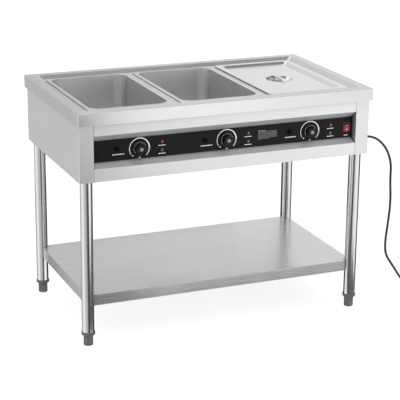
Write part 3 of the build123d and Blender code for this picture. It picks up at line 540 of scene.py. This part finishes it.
# ---------------------------------------------------------------- indicator lamps
# Profiles are (radius, height above the fascia).
bezel_profile = (
    (0.0060, -0.0005), (0.0066, -0.0001), (0.0066, 0.0008),
    (0.0064, 0.0012), (0.0061, 0.0012), (0.0060, 0.0009),
)
lens_profile = (
    (0, 0.0038), (0.0022, 0.0037), (0.0042, 0.0032),
    (0.0055, 0.0023), (0.0060, 0.0010), (0.0060, 0),
)
# The pale disc on the front of each lens's centre is a painted highlight.
painted_highlight_profile = ((0, 0.00395), (0.0012, 0.0039), (0.0017, 0.0036))
lamp_rows = (
    ("heating_lamps", red_glass, red_painted_highlight, "red_lens"),
    ("power_lamps", green_glass, green_painted_highlight, "green_lens"),
)
for label, glass, painted_highlight, lens_slot in lamp_rows:
    low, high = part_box(label)
    from_knob = (low.x + high.x) / 2 - knob_centres[1].x
    lamp_z = (low.z + high.z) / 2
    places = [(centre.x + from_knob, lamp_z) for centre in knob_centres]
    bezel = turned(label + "_bezel", bezel_profile, fascia_front, places, housing_black, "cabinet")
    dome = turned(label + "_lens", lens_profile, fascia_front, places, glass, "cabinet")
    # A painted highlight: a pale disc on the lens's centre.
    highlight_disc = turned(label + "_core", painted_highlight_profile, fascia_front, places, painted_highlight, "cabinet")
    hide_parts(label)

# ---------------------------------------------------------------- power switch marks
# The rocker's face is two flats that meet in a fold over its pivot; it rests tilted.
tilt = radians(9)
pivot_y, pivot_z = -0.2883, 0.725
fold_y, edge_y, half_height = -0.0082, -0.0114, 0.014  # from the pivot
rocker_ink_depth = 0.0002


def on_rocker(across, up, out):
    """A point on the rocker's face; up is from its fold, and negative on the lower flat."""
    y = fold_y + (edge_y - fold_y) * abs(up) / half_height + INK_SUNK - rocker_ink_depth * out
    return (
        switch_x + across,
        pivot_y + y * cos(tilt) - up * sin(tilt),
        pivot_z + y * sin(tilt) + up * cos(tilt),
    )


on_mark_up, on_mark_width, on_mark_height = 0.0070, 0.0012, 0.0052
off_mark_up, off_mark_radius, off_mark_stroke = -0.0070, 0.0027, 0.0009
rocker_marks = [bar(0, on_mark_up, on_mark_width, on_mark_height)]
rocker_marks += arc_outlines(0, off_mark_up, off_mark_radius, 360, 0, off_mark_stroke, step=24)
rocker_print = slabs("rocker_marks", rocker_marks, on_rocker, ink, "rocker")

# ---------------------------------------------------------------- supply cord
cord_diameter = 0.009
cord_low = cord_diameter / 2 + 0.0001  # the middle of a cord that lies on the floor
route = [
    (0.598, -0.240, 0.664),
    (0.640, -0.240, 0.664),
    (0.699, -0.239, 0.612),
    (0.724, -0.240, 0.545),
    (0.721, -0.242, 0.480),
    (0.729, -0.241, 0.392),
    (0.724, -0.238, 0.305),
    (0.714, -0.239, 0.225),
    (0.717, -0.241, 0.171),
    (0.748, -0.241, 0.127),
    (0.789, -0.240, 0.066),
    (0.824, -0.240, 0.025),
    (0.861, -0.240, cord_low),
    (0.898, -0.239, cord_low),
]


def ease(value, start, end):
    """0 before start, 1 after end, smooth between."""
    t = min(max((value - start) / (end - start), 0), 1)
    return t * t * (3 - 2 * t)


def coil_turns(middle, outer, inner, step=20):
    """Two turns side by side on the floor, then a quarter turn in the groove on top of them.

    Angles are in degrees along the cord. It moves from the outer to the inner ring, then out
    to midway between them as it climbs.
    """
    first, last = 270, 1080
    moves_in, moves_out, climbs = (545, 615), (850, 910), (835, 905)
    clearance = 0.0012
    climb = cord_diameter * sqrt(3) / 2 + clearance
    points = []
    for angle in range(first, last, step):
        reach = outer + (inner - outer) * ease(angle, *moves_in)
        reach += (outer - inner) / 2 * ease(angle, *moves_out)
        lift = climb * ease(angle, *climbs)
        around = radians(angle)
        spread = reach / cos(radians(step / 2))  # control points lie outside the curve
        x, y = middle.x + spread * cos(around), middle.y + spread * sin(around)
        points.append((x, y, cord_low + lift))
    return points


coil_low, coil_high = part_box("cord_coil")
coil_middle = (coil_low + coil_high) / 2
coil_outer = (coil_high.x - coil_low.x) / 2 - cord_diameter / 2
coil_inner = coil_outer - cord_diameter
plug_low, plug_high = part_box("power_plug")
plug_middle = (plug_low + plug_high) / 2
tail_x = coil_middle.x + (coil_outer + coil_inner) / 2
tail_z = cord_low + cord_diameter
route += coil_turns(coil_middle, coil_outer, coil_inner)
route += [
    (tail_x, coil_middle.y + 0.002, tail_z),
    (tail_x, coil_middle.y + 0.017, tail_z),
    (plug_middle.x, plug_low.y + 0.001, plug_middle.z),
]


def spline_curve(name, points, radius, finish, body):
    """A round cord along the smooth line of its control points."""
    data = bpy.data.curves.new(name, "CURVE")
    data.dimensions = "3D"
    data.bevel_depth = radius
    data.bevel_resolution = 6
    data.resolution_u = 8
    data.use_fill_caps = True
    line = data.splines.new("NURBS")
    line.points.add(len(points) - 1)
    for point, place in zip(line.points, points):
        point.co = (*place, 1)
    line.order_u = 3
    line.use_endpoint_u = True
    return piece(name, data, finish, body)


cord = spline_curve("supply_cord", route, cord_diameter / 2, rubber, "cabinet")
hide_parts("power_cord", "cord_coil")


# ---------------------------------------------------------------- floor, light and camera
def stage_sheet(name, corners_at, finish):
    """A flat four-cornered stage piece."""
    data = bpy.data.meshes.new(name)
    data.from_pydata(corners_at, [], [(0, 1, 2, 3)])
    data.materials.append(finish.material)
    made = bpy.data.objects.new(name, data)
    bpy.context.scene.collection.objects.link(made)
    return made


def upright(start, end, low, high):
    """The corners of an upright sheet from one (x, y) to another."""
    return [(*start, low), (*end, low), (*end, high), (*start, high)]


def card(name, tone, corners_at):
    """A grey card that only reflections see; it gives polished steel its dark bands."""
    cloth = Finish(name + "_cloth", Specular_IOR_Level=0.0)
    weave = cloth.noise(0.2)
    cloth.use("Base Color", cloth.mottle(weave, grey(tone * 0.9), grey(tone)))
    made = stage_sheet(name, corners_at, cloth)
    made.visible_camera = False
    made.visible_diffuse = False
    made.visible_shadow = False


def flag(name, tone, left, right, y, low, high):
    """An upright card."""
    card(name, tone, upright((left, y), (right, y), low, high))


def floor_flag(name, tone, left, right, front, back):
    """A card that lies on the floor."""
    z = 0.002
    corners_at = [(left, front, z), (right, front, z), (right, back, z), (left, back, z)]
    card(name, tone, corners_at)


def overhead_sun(strength, spread):
    """Soft light from above. Steel doesn't mirror it, so it leaves no hot spots."""
    data = bpy.data.lights.new("overhead", "SUN")
    data.energy = strength
    data.angle = radians(spread)
    lamp = bpy.data.objects.new("overhead", data)
    bpy.context.scene.collection.objects.link(lamp)
    lamp.rotation_euler = (radians(10), radians(-6), 0)
    lamp.visible_glossy = False


def studio_world(walls, ceiling):
    """The room that steel mirrors: pale and dark walls by bearing, under a banded ceiling.

    Both are rows of (place, brightness). Bearings are in degrees from -Y towards +X. The
    ceiling's bands run from -1, in front, to 1, behind.
    """
    wall_top, ceiling_edge = 0.35, 0.8  # a direction's height: 0 is level, 1 straight up
    world = bpy.data.worlds.new("studio")
    bpy.context.scene.world = world
    world.use_nodes = True
    tree = world.node_tree

    def node(kind, inputs=(), **settings):
        return add_node(tree, kind, inputs, **settings)

    brightest = max(level for _, level in (*walls, *ceiling))

    def banded(value, reach, bands):
        """A level that varies with a value from -reach to reach."""
        place = node("MapRange", {0: value, 1: -reach, 2: reach}).outputs[0]
        ramp = node("ValToRGB", {0: place})
        ramp.color_ramp.interpolation = "EASE"
        stops = [((at + reach) / (2 * reach), grey(level / brightest)) for at, level in bands]
        set_stops(ramp, stops)
        return ramp.outputs[0]

    direction = node("TexCoord").outputs["Generated"]
    parts = node("SeparateXYZ", {0: direction}).outputs
    forward = node("Math", {0: parts[1], 1: -1.0}, operation="MULTIPLY").outputs[0]
    turn = node("Math", {0: parts[0], 1: forward}, operation="ARCTAN2").outputs[0]
    bearing = node("Math", {0: turn}, operation="DEGREES").outputs[0]
    height = node("MapRange", {0: parts[2], 1: wall_top, 2: ceiling_edge}).outputs[0]
    sides, top = banded(bearing, 180, walls), banded(parts[1], 1, ceiling)
    # A Mix node's colours are its inputs 6 and 7 and its output 2.
    room = node("Mix", {0: height, 6: sides, 7: top}, data_type="RGBA").outputs[2]
    tree.links.new(room, tree.nodes["Background"].inputs["Color"])
    tree.nodes["Background"].inputs["Strength"].default_value = brightest


stage_reach = 60
floor_paper = Finish("floor_paper", Specular_IOR_Level=0.0, Emission_Strength=0.86)
blotches = floor_paper.noise(0.4, 3)
floor_paper.use("Base Color", floor_paper.mottle(blotches, grey(0.145), grey(0.155)))
floor_paper.use("Emission Color", floor_paper.mottle(blotches, grey(0.99), grey(1.0)))
floor_paper.use("Roughness", floor_paper.span(blotches, 0.8, 0.9))
front_left, front_right = (-stage_reach, -stage_reach), (stage_reach, -stage_reach)
back_right, back_left = (stage_reach, stage_reach), (-stage_reach, stage_reach)
floor_corners = [(*place, 0) for place in (front_left, front_right, back_right, back_left)]
floor = stage_sheet("studio_floor", floor_corners, floor_paper)
floor.visible_glossy = False

# Far curtains, as pale as the floor, hide the room from the camera in low views.
curtain_paper = Finish("curtain_paper", Specular_IOR_Level=0.0, Emission_Strength=0.98)
folds = curtain_paper.noise(6.0)
curtain_paper.use("Base Color", curtain_paper.mottle(folds, grey(0.01), grey(0.02)))
curtain_paper.use("Emission Color", curtain_paper.mottle(folds, grey(0.99), grey(1.0)))
curtain_low = -1.0
for label, start, end in (
    ("back", back_left, back_right),
    ("right", back_right, front_right),
    ("front", front_right, front_left),
    ("left", front_left, back_left),
):
    curtain_corners = upright(start, end, curtain_low, stage_reach)
    curtain = stage_sheet(f"{label}_curtain", curtain_corners, curtain_paper)
    curtain.visible_glossy = False
    curtain.visible_diffuse = False
    curtain.visible_shadow = False

studio_world(
    walls=(
        (-180, 0.55), (-155, 0.60), (-130, 0.85), (-108, 1.25), (-85, 1.25), (-60, 0.85),
        (-38, 0.65), (-18, 0.70), (0, 0.95), (15, 1.15), (23, 1.62), (31, 0.95), (37, 1.10),
        (48, 1.60), (60, 1.30), (78, 0.45), (95, 0.02), (120, 0.05), (138, 0.55), (149, 0.86),
        (156, 0.84), (165, 0.58),
    ),
    ceiling=((-1, 0.8), (-0.35, 0.8), (-0.1, 0.12), (0.15, 0.12), (0.45, 1.3)),
)
overhead_sun(strength=3.6, spread=130)
flag("front_flag", 0.2, left=-1.0, right=-0.08, y=-1.63, low=-1.5, high=0.9)
floor_flag("near_flag", 0.10, left=-0.45, right=0.85, front=-0.92, back=-0.36)
flag("low_flag", 0.05, left=-0.5, right=0.1, y=-1.62, low=-1.5, high=0.27)
flag("back_flag", 0.02, left=-0.75, right=0.5, y=0.75, low=-1.5, high=0.3)
flag("shelf_flag", 0.01, left=-0.02, right=0.40, y=-0.33, low=0.25, high=0.6)

# The camera's place, turn and lens were fitted to the photo's view of the table.
camera_place = (-2.0211, -4.8835, 2.0752)
yaw, pitch, roll = radians(22.694), radians(17.527), radians(0.559)
lens_mm, sensor_mm = 128.87, 36
camera_data = bpy.data.cameras.new("camera")
camera_data.sensor_width = sensor_mm
camera_data.lens = lens_mm
camera_data.clip_end = 100  # past the curtains
camera = bpy.data.objects.new("camera", camera_data)
bpy.context.scene.collection.objects.link(camera)
ahead = Vector((sin(yaw) * cos(pitch), cos(yaw) * cos(pitch), -sin(pitch)))
level = ahead.cross(Vector((0, 0, 1))).normalized()
upward = level.cross(ahead)
camera_x = level * cos(roll) + upward * sin(roll)
camera_y = upward * cos(roll) - level * sin(roll)
turn = Matrix((camera_x, camera_y, -ahead)).transposed().to_4x4()
camera.matrix_world = Matrix.Translation(camera_place) @ turn
bpy.context.scene.camera = camera
bpy.context.scene.view_settings.view_transform = "Standard"
